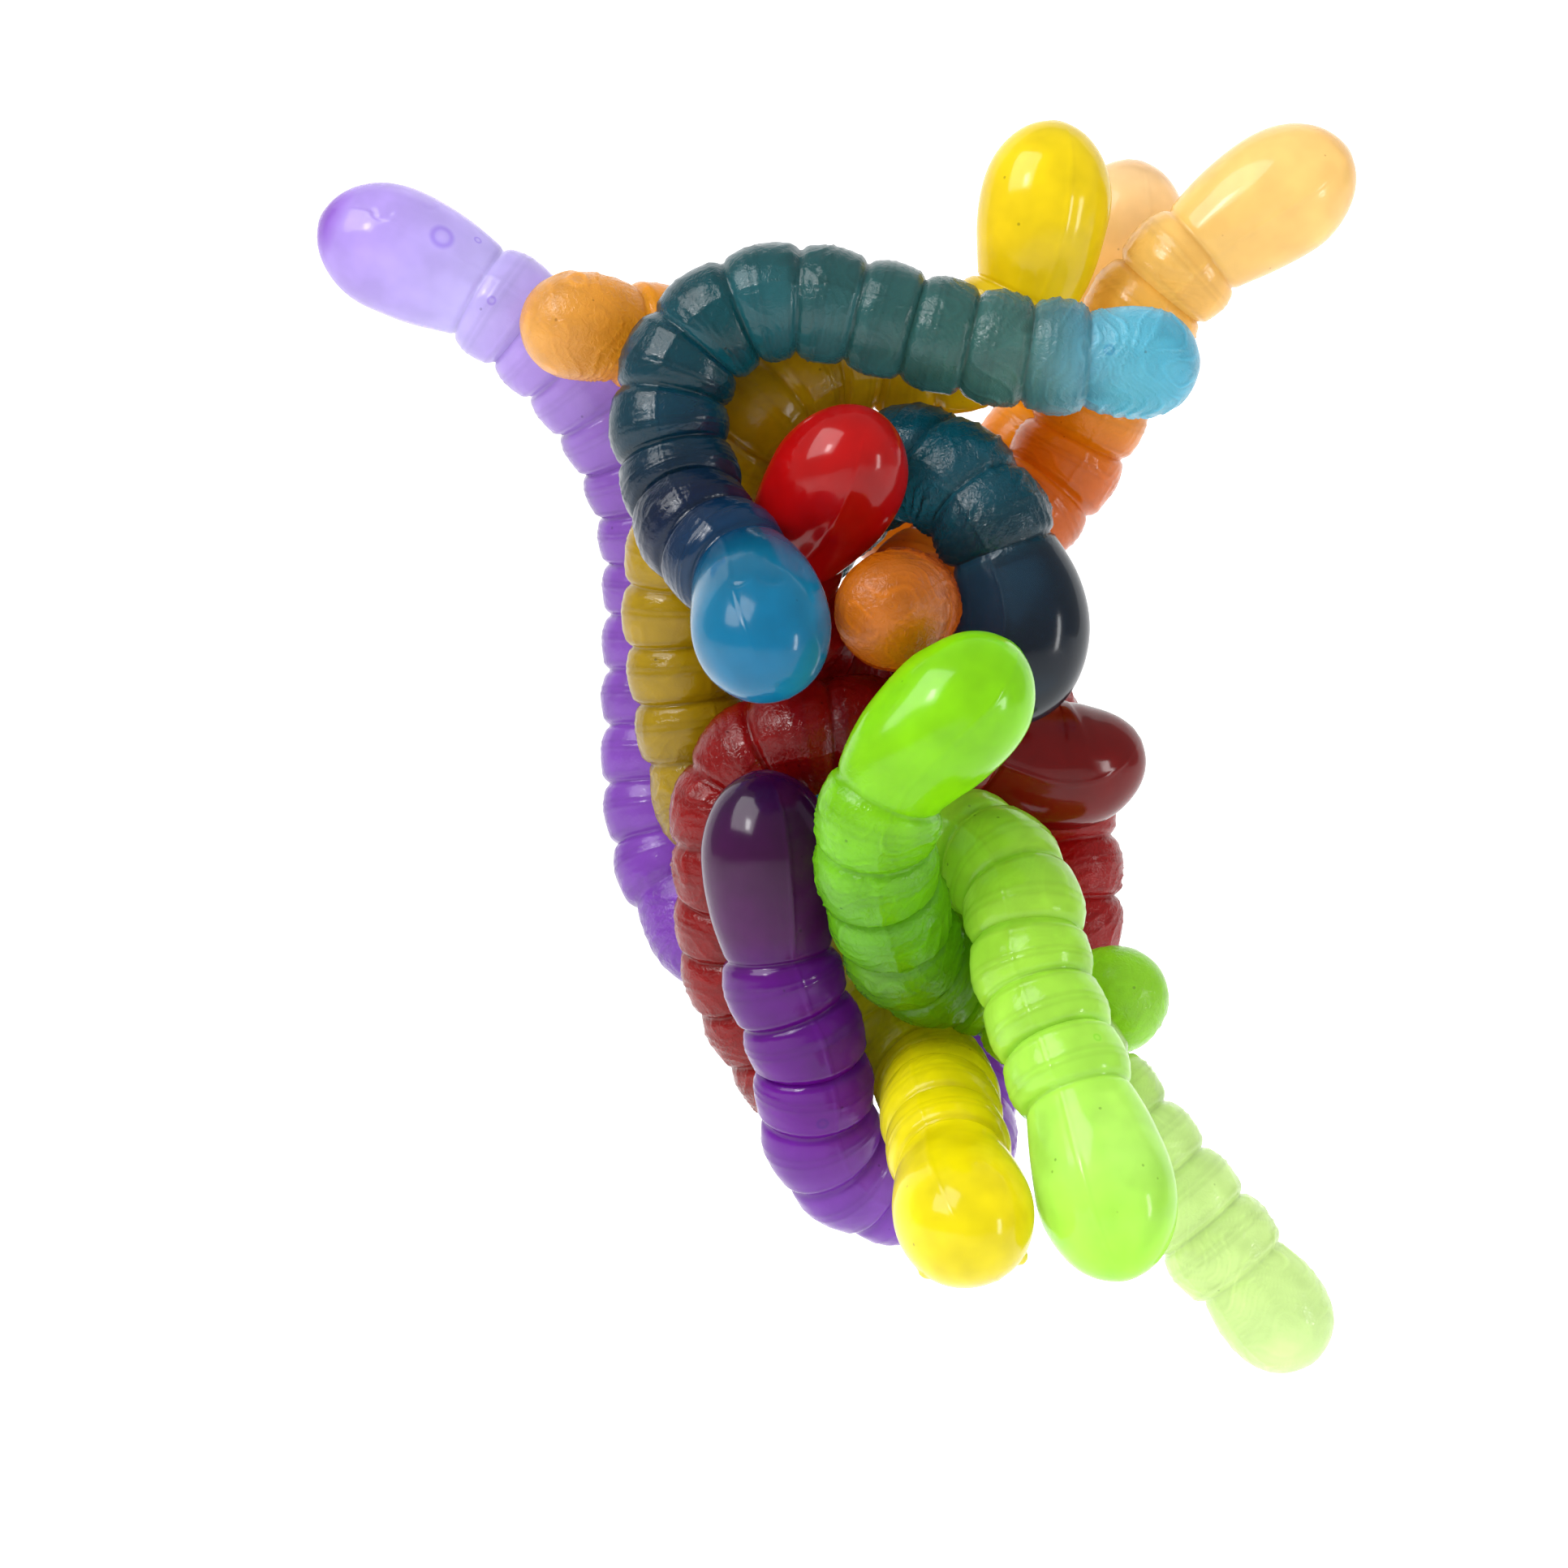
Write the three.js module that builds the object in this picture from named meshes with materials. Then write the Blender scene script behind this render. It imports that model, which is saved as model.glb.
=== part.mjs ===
// A handful of twelve soft, stretchy rubber worms, squeezed together in the middle.
// Millimetres, +Z up, +Y to the back. The origin is the middle of the grip.
import * as THREE from "three";

// ---------- one worm, head tip to tail tip ----------
const WORM_LENGTH = 102;
const HEAD_LENGTH = 18.7;
const HEAD_RADIUS = 6.8;
const HEAD_WIDEST_AT = 8.8;
const NECK_RADIUS = 5.3;
const RING_COUNT = 12;
const RING_RADIUS_FRONT = 6.15;
const RING_RADIUS_REAR = 5.8;
const GROOVE_DEPTH = 0.95;
const TAIL_LENGTH = 11.5;
const TAIL_RADIUS = 5.6;
const TAIL_WIDEST_AT = 4.6;
const TAIL_BLUNTNESS = 2.5;
const RING_PITCH = (WORM_LENGTH - HEAD_LENGTH - TAIL_LENGTH) / RING_COUNT;

// ---------- how a worm is cut into stiff sections ----------
const BEND_GAP = 0.3;
const BEND_RECESS = 1.1;
const BEND_SHOULDER = 0.45;
const STRETCH_GAP = 0.16;
const DOME_RIM = 0.97;
const DOME_CORE = 0.55;
const DOME_CORE_DEPTH = 0.4;

// ---------- how the bundle is packed ----------
const CLEAR_GAP = 0.45;
const LINKS = 51;
const LINK = WORM_LENGTH / LINKS;
const SETTLE_ROUNDS = 700;
const LENGTH_PASSES = 4;
const TIGHTEST = 10;
const BEND_REACHES = [2, 4, 8];
const SELF_SKIP = 9;
const SEEN_HOLD = 0.5;
const HIDDEN_HOLD = 0.015;
const HIDDEN_STIFFNESS = 0.5;
const SEEN_STIFFNESS = 0.15;
const PUSH = 0.9;
const SMOOTHING = 0.25;

// ---------- mesh density ----------
const SIDES = 12;
const HEAD_STEPS = [0.3, 1.4, 3.6, 6.6, 10.2, 13.8, 16.8];
const RING_STEPS = [0.28, 0.72];
const TAIL_STEPS = [1.7, 4.6, 8.2, 10.2, 11.3];
const FRAMES = 200;
const FRAME_DIVISIONS = 600;

const COLOURS = {
  purple: 0x8a55d8,
  orange: 0xff9020,
  yellow: 0xf5e100,
  green: 0x93ee38,
  blue: 0x2590c4,
  red: 0xc00812,
};

// Each worm's route, head tip first. "head" and "tail" say how many points from that
// end are out in the open and so stay where they are when the bundle is packed.
// "cuts" are counted in rings from the neck: at 0 the head comes off, at 12 the tail.
const WORMS = [
  {
    name: "purple_1", colour: "purple", head: 4, tail: 0,
    route: [[-59.9, 15, 42.7], [-51.5, 15, 39.1], [-43.3, 15, 35.2], [-38.3, 15, 31.8],
      [-30, 17, 25], [-24, 20, 15], [-22, 22, 4], [-22, 22, -7], [-21, 21, -18],
      [-19, 19, -28], [-16.5, 17, -37]],
    cuts: [{ ring: 0, kind: "stretch" }, { ring: 2, kind: "bend" }],
  },
  {
    name: "orange_2", colour: "orange", head: 3, tail: 3,
    route: [[26.4, 22, 49.2], [25.3, 23, 40.5], [24, 24, 32], [20, 25, 23], [13.5, 25, 15.5],
      [6, 24, 9], [-1, 21.5, 8.2], [-7.5, 18, 15], [-14, 13, 24.5], [-22, 8, 28.5],
      [-30, 3, 30.2], [-37.4, 1, 30.3]],
    cuts: [{ ring: 0, kind: "bend" }, { ring: 11, kind: "bend" }],
  },
  {
    name: "yellow_1", colour: "yellow", head: 3, tail: 0,
    route: [[17, 4, 50.5], [15.8, 4, 43], [14.4, 4.5, 33.5], [11, 5.5, 26], [4, 6, 22.5],
      [-3, 3, 22.5], [-10, 0, 20.5], [-17, 3, 18], [-21, 8, 10], [-21, 10, 1],
      [-20, 12, -8], [-18.5, 12, -17], [-18, 12, -24]],
    cuts: [{ ring: 0, kind: "stretch" }, { ring: 1, kind: "bend" }],
  },
  {
    name: "orange_1", colour: "orange", head: 4, tail: 4,
    route: [[47.2, 8, 48.8], [39.6, 8, 43.8], [32.2, 8, 38.8], [26.5, 9, 33.5],
      [22, 11, 25.5], [18, 13, 17], [13, 13, 10], [7, 9, 6], [3.5, 2, 6.5], [2.5, -6, 5],
      [1.8, -13, 2.5], [0.4, -20.5, -0.3], [-1.6, -28, -1.6]],
    cuts: [{ ring: 0, kind: "stretch" }, { ring: 2, kind: "bend" }, { ring: 11, kind: "bend" }],
  },
  {
    name: "blue_1", colour: "blue", head: 4, tail: 2,
    route: [[-12.7, -32.2, -6.7], [-13.5, -24.5, -0.8], [-14.6, -17, 5], [-17, -9, 9.8],
      [-21.5, -6, 17], [-20.5, -5.5, 26], [-12, -6, 31], [-2, -7.5, 30], [8.5, -8, 26.5],
      [19, -8, 25.5], [29.8, -8, 25.3]],
    cuts: [{ ring: 0, kind: "bend" }, { ring: 11, kind: "bend" }, { ring: 12, kind: "stretch" }],
  },
  {
    name: "blue_2", colour: "blue", head: 5, tail: 0,
    route: [[9.4, -7, -11.3], [9.2, -7, -2.4], [9, -7, 7], [8.3, -6.5, 13.5], [3.5, -3, 16],
      [-3, 1, 15], [-10, 4, 13], [-15, 8, 7], [-15, 12, -1], [-14, 14, -10], [-12, 16, -19],
      [-10, 17, -28], [-8, 17, -36]],
    cuts: [{ ring: 0, kind: "bend" }],
  },
  {
    name: "red_1", colour: "red", head: 3, tail: 0,
    route: [[-3.4, -16, 18.7], [-5.8, -12.5, 10.4], [-8.2, -9, 2.2], [-8.5, -2.5, -3],
      [-5, 5, -5], [2, 10, -5], [10, 13, -4], [17, 15, -8], [22, 17, -16], [22, 19, -26],
      [20, 20, -36], [17, 20, -46]],
    cuts: [{ ring: 0, kind: "bend" }],
  },
  {
    name: "red_2", colour: "red", head: 2, tail: 0,
    route: [[23.6, 8, -13.5], [15.5, 8.5, -17.5], [7, 8, -17.5], [0, 4, -14],
      [-5, -3, -11.5], [-11, -5, -14.5], [-14, 1, -20], [-13.5, 4, -29], [-12, 7, -38],
      [-9, 9, -47], [-4, 11, -55], [1, 13, -60]],
    cuts: [{ ring: 0, kind: "bend" }],
  },
  {
    name: "green_1", colour: "green", head: 5, tail: 5,
    route: [[11.2, -28, -3.7], [4.2, -28, -10], [-2.8, -28, -16.9], [-4.8, -25, -23],
      [-3.6, -20, -28.5], [-1.2, -16, -33], [4, -11.5, -38.5], [10, -9, -44],
      [17, -8, -49.5], [25.3, -8, -55.8], [29.6, -8, -60], [33, -8, -63.8],
      [36.4, -8, -68.1], [43.2, -8, -76.6]],
    cuts: [{ ring: 0, kind: "bend" }, { ring: 7, kind: "bend" }, { ring: 9, kind: "bend" },
      { ring: 12, kind: "stretch" }],
  },
  {
    name: "green_2", colour: "green", head: 8, tail: 2,
    route: [[21.6, -32, -64.4], [17.9, -25.5, -48.6], [16, -23, -43.8],
      [14.2, -20.5, -39.6], [12.2, -17.8, -35.3], [10, -14.5, -31.2], [7.8, -10.5, -27.3],
      [6, -4.5, -24], [4.8, 2.5, -25], [6, 9, -30.5], [11, 12.5, -36], [19, 9, -39],
      [24, 0, -38.3]],
    cuts: [{ ring: 0, kind: "stretch" }, { ring: 2, kind: "bend" }, { ring: 4, kind: "bend" },
      { ring: 11, kind: "bend" }],
  },
  {
    name: "yellow_2", colour: "yellow", head: 5, tail: 0,
    route: [[6.6, -38.5, -61], [6.1, -29.5, -58.3], [5.3, -20.5, -54.3], [4, -13, -49.5],
      [1.5, -7.5, -43.5], [-1, -3.2, -37], [-3.3, -0.5, -30], [-4, 5, -24], [-4, 11, -17],
      [-3, 16, -9], [1, 20, -2], [7, 23, 4]],
    cuts: [{ ring: 0, kind: "stretch" }, { ring: 1, kind: "bend" }],
  },
  {
    name: "purple_2", colour: "purple", head: 6, tail: 0,
    route: [[-13.6, -13, -15.9], [-12.2, -13, -25], [-10.6, -12, -34.6], [-8.8, -10.5, -40.3],
      [-6.6, -8, -45.8], [-4, -4.5, -51.5], [-0.5, 1, -56], [4, 7.5, -57.5],
      [8, 14, -54], [9.5, 19, -47], [8.5, 21.5, -38], [7, 22, -28], [6, 22, -23]],
    cuts: [{ ring: 0, kind: "bend" }],
  },
];

// ---------- the outline of a worm: its radius at a distance from the head tip ----------
function headRadius(s) {
  if (s < HEAD_WIDEST_AT) {
    const t = 1 - s / HEAD_WIDEST_AT;
    return HEAD_RADIUS * Math.sqrt(Math.max(0, 1 - t * t));
  }
  const t = (s - HEAD_WIDEST_AT) / (HEAD_LENGTH - HEAD_WIDEST_AT);
  return NECK_RADIUS + (HEAD_RADIUS - NECK_RADIUS) * Math.cos((t * Math.PI) / 2);
}

function ringRadius(s) {
  const along = (s - HEAD_LENGTH) / RING_PITCH;
  const crest = RING_RADIUS_FRONT + (RING_RADIUS_REAR - RING_RADIUS_FRONT) * (along / RING_COUNT);
  const bulge = Math.sqrt(Math.abs(Math.sin(Math.PI * along)));
  return crest - GROOVE_DEPTH * (1 - bulge);
}

function tailRadius(s) {
  const t = s - (WORM_LENGTH - TAIL_LENGTH);
  if (t < TAIL_WIDEST_AT) {
    const groove = RING_RADIUS_REAR - GROOVE_DEPTH;
    return groove + (TAIL_RADIUS - groove) * Math.sin((t / TAIL_WIDEST_AT) * (Math.PI / 2));
  }
  const u = (t - TAIL_WIDEST_AT) / (TAIL_LENGTH - TAIL_WIDEST_AT);
  return TAIL_RADIUS * Math.sqrt(Math.max(0, 1 - u ** TAIL_BLUNTNESS));
}

function wormRadius(s) {
  if (s <= HEAD_LENGTH) return headRadius(s);
  if (s >= WORM_LENGTH - TAIL_LENGTH) return tailRadius(s);
  return ringRadius(s);
}

// The envelope over the ring crests, which is what two worms must keep apart.
function packRadius(s) {
  const end = Math.min(s, WORM_LENGTH - s);
  if (end < 2 || s < HEAD_LENGTH) return Math.max(wormRadius(s), 3);
  return s >= WORM_LENGTH - TAIL_LENGTH ? wormRadius(s) : RING_RADIUS_FRONT;
}

// ---------- packing: routes become chains of equal links that keep clear ----------
// The parts that are out in the open lie at their true distance from their own end;
// the hidden middle is spread evenly over what is left of the route.
function chainFor(worm) {
  const points = worm.route.map((p) => new THREE.Vector3(...p));
  const curve = new THREE.CatmullRomCurve3(points, false, "centripetal");
  const drawn = curve.getLength();
  const seenHead = worm.head > 1 ? lengthTo(points, worm.head - 1) : 0;
  const seenTail = worm.tail > 1 ? lengthTo([...points].reverse(), worm.tail - 1) : 0;
  const hiddenReal = WORM_LENGTH - seenHead - seenTail;
  const hiddenDrawn = drawn - seenHead - seenTail;
  const links = [];
  for (let i = 0; i <= LINKS; i++) {
    const s = i * LINK;
    const fromTail = WORM_LENGTH - s;
    let reach = seenHead + ((s - seenHead) / hiddenReal) * hiddenDrawn;
    if (s <= seenHead) reach = s;
    if (fromTail <= seenTail) reach = drawn - fromTail;
    const place = curve.getPointAt(Math.min(Math.max(reach / drawn, 0), 1));
    const seen = s <= seenHead || fromTail <= seenTail;
    links.push({ place, drawn: place.clone(), seen, radius: packRadius(s) });
  }
  return links;
}

function lengthTo(points, count) {
  let sum = 0;
  for (let i = 1; i <= count; i++) sum += points[i].distanceTo(points[i - 1]);
  return sum;
}

function pushApart(a, b, apart) {
  const away = b.place.clone().sub(a.place);
  const reach = away.length();
  if (reach >= apart || reach === 0) return;
  const shareA = a.seen ? SEEN_STIFFNESS : HIDDEN_STIFFNESS;
  const shareB = b.seen ? SEEN_STIFFNESS : HIDDEN_STIFFNESS;
  away.multiplyScalar((apart - reach) / reach / (shareA + shareB));
  a.place.addScaledVector(away, -shareA * PUSH);
  b.place.addScaledVector(away, shareB * PUSH);
}

function keepLinkLengths(chain) {
  for (let i = 1; i < chain.length; i++) {
    const a = chain[i - 1];
    const b = chain[i];
    const step = b.place.clone().sub(a.place);
    const reach = step.length();
    step.multiplyScalar((reach - LINK) / reach / 2);
    a.place.add(step);
    b.place.sub(step);
  }
}

// A chain never curls tighter than TIGHTEST: points a few links apart keep their chord.
function keepBendsOpen(chain) {
  for (const reach of BEND_REACHES) {
    const chord = 2 * TIGHTEST * Math.sin((reach * LINK) / (2 * TIGHTEST));
    for (let i = reach; i < chain.length; i++) {
      const a = chain[i - reach];
      const b = chain[i];
      const step = b.place.clone().sub(a.place);
      const now = step.length();
      if (now >= chord) continue;
      step.multiplyScalar((chord - now) / now / 2);
      a.place.sub(step);
      b.place.add(step);
    }
  }
}

function smoothChain(chain) {
  const before = chain.map((link) => link.place.clone());
  for (let i = 1; i < chain.length - 1; i++) {
    const middle = before[i - 1].clone().add(before[i + 1]).multiplyScalar(0.5);
    chain[i].place.lerp(middle, SMOOTHING);
  }
}

function clearOthers(chains) {
  for (let m = 0; m < chains.length; m++) {
    for (let n = m; n < chains.length; n++) {
      for (let i = 0; i < chains[m].length; i++) {
        const first = m === n ? i + SELF_SKIP : 0;
        for (let j = first; j < chains[n].length; j++) {
          const a = chains[m][i];
          const b = chains[n][j];
          pushApart(a, b, a.radius + b.radius + CLEAR_GAP);
        }
      }
    }
  }
}

function settle(worms) {
  const chains = worms.map(chainFor);
  for (let round = 0; round < SETTLE_ROUNDS; round++) {
    const fading = 1 - round / SETTLE_ROUNDS;
    for (const chain of chains) {
      for (const link of chain) {
        link.place.lerp(link.drawn, (link.seen ? SEEN_HOLD : HIDDEN_HOLD) * fading);
      }
      smoothChain(chain);
      for (let pass = 0; pass < LENGTH_PASSES; pass++) {
        keepBendsOpen(chain);
        keepLinkLengths(chain);
      }
    }
    clearOthers(chains);
  }
  return chains;
}

// ---------- sweeping a section of a worm along its settled route ----------
function framesAlong(chain) {
  const places = chain.map((link) => link.place);
  const curve = new THREE.CatmullRomCurve3(places, false, "centripetal");
  curve.arcLengthDivisions = FRAME_DIVISIONS;
  const frames = [];
  let normal = new THREE.Vector3(0.31, 0.42, 0.85);
  for (let i = 0; i <= FRAMES; i++) {
    const tangent = curve.getTangentAt(i / FRAMES).normalize();
    normal = normal.clone().addScaledVector(tangent, -normal.dot(tangent)).normalize();
    frames.push({ tangent, normal, place: curve.getPointAt(i / FRAMES) });
  }
  return frames;
}

function frameAt(frames, s) {
  const at = Math.min(Math.max((s / WORM_LENGTH) * (frames.length - 1), 0), frames.length - 1);
  const low = Math.min(Math.floor(at), frames.length - 2);
  const mix = at - low;
  const tangent = frames[low].tangent.clone().lerp(frames[low + 1].tangent, mix).normalize();
  const normal = frames[low].normal.clone().lerp(frames[low + 1].normal, mix);
  normal.addScaledVector(tangent, -normal.dot(tangent)).normalize();
  const place = frames[low].place.clone().lerp(frames[low + 1].place, mix);
  return { tangent, normal, place, side: tangent.clone().cross(normal) };
}

// Rows of a section: each has a distance along the worm and a radius, and rows of the
// two rounded or flat cut ends share one tangent so that they never fold over.
function bodyRows(from, to) {
  const stations = [];
  for (const s of HEAD_STEPS) stations.push(s);
  for (let ring = 0; ring < RING_COUNT; ring++) {
    stations.push(HEAD_LENGTH + ring * RING_PITCH);
    for (const t of RING_STEPS) stations.push(HEAD_LENGTH + (ring + t) * RING_PITCH);
  }
  stations.push(WORM_LENGTH - TAIL_LENGTH);
  for (const t of TAIL_STEPS) stations.push(WORM_LENGTH - TAIL_LENGTH + t);
  return stations
    .filter((s) => s > from + BEND_SHOULDER && s < to - BEND_SHOULDER)
    .map((s) => ({ s, radius: wormRadius(s) }));
}

function cutRows(cutAt, kind, direction) {
  const groove = wormRadius(cutAt);
  if (kind === "stretch") {
    return [{ s: cutAt + direction * STRETCH_GAP, radius: groove }];
  }
  const rim = cutAt + direction * BEND_RECESS;
  const core = BEND_GAP + (BEND_RECESS - BEND_GAP) * DOME_CORE_DEPTH;
  return [
    { s: rim, radius: wormRadius(rim) * DOME_RIM },
    { s: cutAt + direction * core, radius: groove * DOME_CORE },
  ];
}

function sectionGeometry(frames, start, end) {
  const rows = [];
  let headPole = 0;
  let tailPole = WORM_LENGTH;
  let from = 0;
  let to = WORM_LENGTH;
  if (start) {
    from = start.s + (start.kind === "bend" ? BEND_RECESS : STRETCH_GAP);
    headPole = start.s + (start.kind === "bend" ? BEND_GAP : STRETCH_GAP);
    rows.push(...cutRows(start.s, start.kind, 1).reverse());
  }
  if (end) {
    to = end.s - (end.kind === "bend" ? BEND_RECESS : STRETCH_GAP);
    tailPole = end.s - (end.kind === "bend" ? BEND_GAP : STRETCH_GAP);
  }
  rows.push(...bodyRows(start ? from : -1, end ? to : WORM_LENGTH + 1));
  if (end) rows.push(...cutRows(end.s, end.kind, -1));
  return sweep(frames, rows, headPole, tailPole);
}

function sweep(frames, rows, headPole, tailPole) {
  const positions = [];
  const place = (v) => positions.push(v.x, v.y, v.z);
  place(frameAt(frames, headPole).place);
  for (const row of rows) {
    const f = frameAt(frames, row.s);
    for (let k = 0; k < SIDES; k++) {
      const turn = (2 * Math.PI * k) / SIDES;
      const out = f.normal.clone().multiplyScalar(Math.cos(turn) * row.radius);
      out.addScaledVector(f.side, Math.sin(turn) * row.radius);
      place(out.add(f.place));
    }
  }
  place(frameAt(frames, tailPole).place);
  const index = [];
  const last = 1 + rows.length * SIDES;
  for (let k = 0; k < SIDES; k++) {
    const next = (k + 1) % SIDES;
    index.push(0, 1 + next, 1 + k);
    for (let r = 0; r + 1 < rows.length; r++) {
      const a = 1 + r * SIDES;
      const b = a + SIDES;
      index.push(a + k, a + next, b + next);
      index.push(a + k, b + next, b + k);
    }
    index.push(last, last - SIDES + k, last - SIDES + next);
  }
  const geometry = new THREE.BufferGeometry();
  geometry.setAttribute("position", new THREE.Float32BufferAttribute(positions, 3));
  geometry.setIndex(index);
  geometry.computeVertexNormals();
  return geometry;
}

// ---------- one worm as its named sections ----------
// Sections are named from the head: head, neck, shoulder, ..., body, ..., hip, tail.
function sectionNames(cuts) {
  const half = RING_COUNT / 2;
  const front = cuts.filter((cut) => cut.ring < half).length;
  const rear = cuts.length - front;
  const frontNames = ["head", "neck", "shoulder"].slice(0, front);
  const rearNames = ["tail", "hip", "waist"].slice(0, rear).reverse();
  return [...frontNames, "body", ...rearNames];
}

function wormMeshes(worm, chain, joints) {
  const frames = framesAlong(chain);
  const material = new THREE.MeshStandardMaterial({
    color: COLOURS[worm.colour],
    roughness: 0.25,
    metalness: 0,
  });
  material.name = `${worm.colour}_rubber`;
  const cuts = worm.cuts.map((cut) => ({ ...cut, s: HEAD_LENGTH + cut.ring * RING_PITCH }));
  const names = sectionNames(cuts);
  const meshes = names.map((section, i) => {
    const geometry = sectionGeometry(frames, cuts[i - 1], cuts[i]);
    const mesh = new THREE.Mesh(geometry, material.clone());
    mesh.name = `${worm.name}_${section}`;
    return mesh;
  });
  cuts.forEach((cut, i) => {
    const { place, tangent } = frameAt(frames, cut.s);
    joints.push({
      worm: worm.name,
      ring: cut.ring,
      kind: cut.kind,
      before: `${worm.name}_${names[i]}`,
      after: `${worm.name}_${names[i + 1]}`,
      place: place.toArray(),
      tangent: tangent.toArray(),
    });
  });
  return meshes;
}

function buildBundle() {
  const bundle = new THREE.Group();
  bundle.name = "stretchy_worm_bundle";
  const chains = settle(WORMS);
  const joints = [];
  WORMS.forEach((worm, i) => bundle.add(...wormMeshes(worm, chains[i], joints)));
  bundle.userData = { joints, chains: chains.map((c) => c.map((link) => link.place.toArray())) };
  return bundle;
}

export default buildBundle();
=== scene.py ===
"""The looks of a handful of soft, stretchy, translucent rubber worms, in metres."""

import math
import random

import bpy
import numpy as np
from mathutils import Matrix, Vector, noise


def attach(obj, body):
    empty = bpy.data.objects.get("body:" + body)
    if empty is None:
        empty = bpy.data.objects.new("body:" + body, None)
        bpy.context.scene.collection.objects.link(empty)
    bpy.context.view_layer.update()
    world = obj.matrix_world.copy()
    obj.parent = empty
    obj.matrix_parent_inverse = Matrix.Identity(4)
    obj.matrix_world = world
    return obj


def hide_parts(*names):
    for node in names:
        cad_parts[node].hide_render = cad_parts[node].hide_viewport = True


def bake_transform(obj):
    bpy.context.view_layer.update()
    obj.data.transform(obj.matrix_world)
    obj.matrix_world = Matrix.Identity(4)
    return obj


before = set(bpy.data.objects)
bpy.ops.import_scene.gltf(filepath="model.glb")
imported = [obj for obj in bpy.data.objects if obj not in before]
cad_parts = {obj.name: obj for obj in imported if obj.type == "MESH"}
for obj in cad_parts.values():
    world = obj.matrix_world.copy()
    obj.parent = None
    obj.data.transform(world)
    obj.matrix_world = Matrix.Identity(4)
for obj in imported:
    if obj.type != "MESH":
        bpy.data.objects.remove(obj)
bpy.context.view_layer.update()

MM = 0.001
WELD_GRID = 0.001 * MM
SAME_PLACE = 1e-6

# ---------- one worm, in millimetres from its head tip ----------
WORM_LENGTH = 102.0
HEAD_LENGTH = 18.7
HEAD_RADIUS = 6.8
HEAD_WIDEST_AT = 8.8
NECK_RADIUS = 5.3
RING_COUNT = 12
RING_RADIUS_FRONT = 6.15
RING_RADIUS_REAR = 5.8
GROOVE_DEPTH = 0.95
TAIL_LENGTH = 11.5
TAIL_RADIUS = 5.6
TAIL_WIDEST_AT = 4.6
TAIL_BLUNTNESS = 2.5
TAIL_FROM = WORM_LENGTH - TAIL_LENGTH
RING_PITCH = (TAIL_FROM - HEAD_LENGTH) / RING_COUNT
MIDDLE = WORM_LENGTH / 2
MIDDLE_RING = RING_COUNT / 2

# ---------- mesh density, and how the skin is divided and bends; lengths in millimetres ----------
ROW_STEP = 0.24
AROUND = 128
TIP_INSET = 0.06
ROUTE_BLUR = 1.1
BLUR_CUTOFF = 3
PAST_JOINT = 2 * RING_PITCH
FIRST_NORMAL = (0.31, 0.42, 0.85)

# ---------- mould seams: height in millimetres, width and angle in radians ----------
SEAM_HEIGHT = 0.09
SEAM_WIDTH = 0.035
SEAM_ROWS = (-2, -1, 0, 1, 2)
SEAM_FROM_FRONT = math.radians(-18)
CLOSEST_ANGLES = 0.4 * SEAM_WIDTH

# ---------- mould lines and creases round the rings, in millimetres or shares of a ring ----------
LINE_HEIGHT = 0.085
LINE_WIDTH = 0.17
LINE_PLACES = (0.3, 0.42, 0.86)
CREASE_DEPTH = 0.22
CREASE_WIDTH = 0.3
CREASE_MARGIN = 0.2

# ---------- soft lumps and flow wrinkles: sizes in millimetres, and layers of noise ----------
LUMP_HEIGHT = 0.13
LUMP_SIZE = 5.0
FLOW_HEIGHT = 0.26
FLOW_SPACING = 1.9
FLOW_WIDTH = 0.1
FLOW_WANDER = 2.9
FLOW_SIZE = 5.0
PATCH_SIZE = 1.4 * FLOW_SIZE
PATCH_MEAN = 0.8
PATCH_SPREAD = 1.5
PATCH_LEAST = 0.45
LUMP_LAYER = 0
WANDER_LAYER = 1
PATCH_LAYER = 2
LAYER_STEP = 31
SEED_SPAN = 100

# ---------- dents: the width of the rim, as a share of its radius; nubs: how flat the top is ----------
DENT_RIM = 0.35
NUB_POWER = 4

# ---------- painted highlight on wrinkle crests, painted shade on their flanks, in ring creases and along mould lines ---
PAINTED_CREST_HIGHLIGHT = 0.2
PAINTED_FLANK_SHADE = 0.14
PAINTED_CREASE_SHADE = 0.12
PAINTED_MOULD_LINE_SHADE = 0.13

# ---------- from the colours as seen to the shaders' colours ----------
BRIGHTNESS = 1.05
DEEPENING = 1.3
GLOSS_LIFT = 0.02
DARKEST = 0.0006

# ---------- the rubber ----------
RUBBER_IOR = 1.42
MILK_ROUGHNESS = 0.11
CLEAR_ROUGHNESS = 0.2
LIGHT_THROUGH = 0.35
PALENESS = 0.7
CLOUD_SCALE = 0.22
CLOUD_DETAIL = 2.0
CLOUD_FROM = (0.3, 0.7)
CLOUD_TO = (0.86, 1.12)
FLECK_SCALE = 0.3
FLECK_FROM = (0.035, 0.06)
FLECK_TO = (0.55, 1.0)
WRINKLE_SCALE = 1.6
WRINKLE_DETAIL = 3.0
WRINKLE_DISTORTION = 1.4
WRINKLE_HEIGHT = 0.16 * MM
BUBBLE_RIM_AT = 0.62
BUBBLE_RIM = ((0.38, 0.1), (BUBBLE_RIM_AT, 0.75), (0.86, 0.0))
BUBBLE_TINT = 0.8

BUNDLE = "gripped_bundle"

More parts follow.
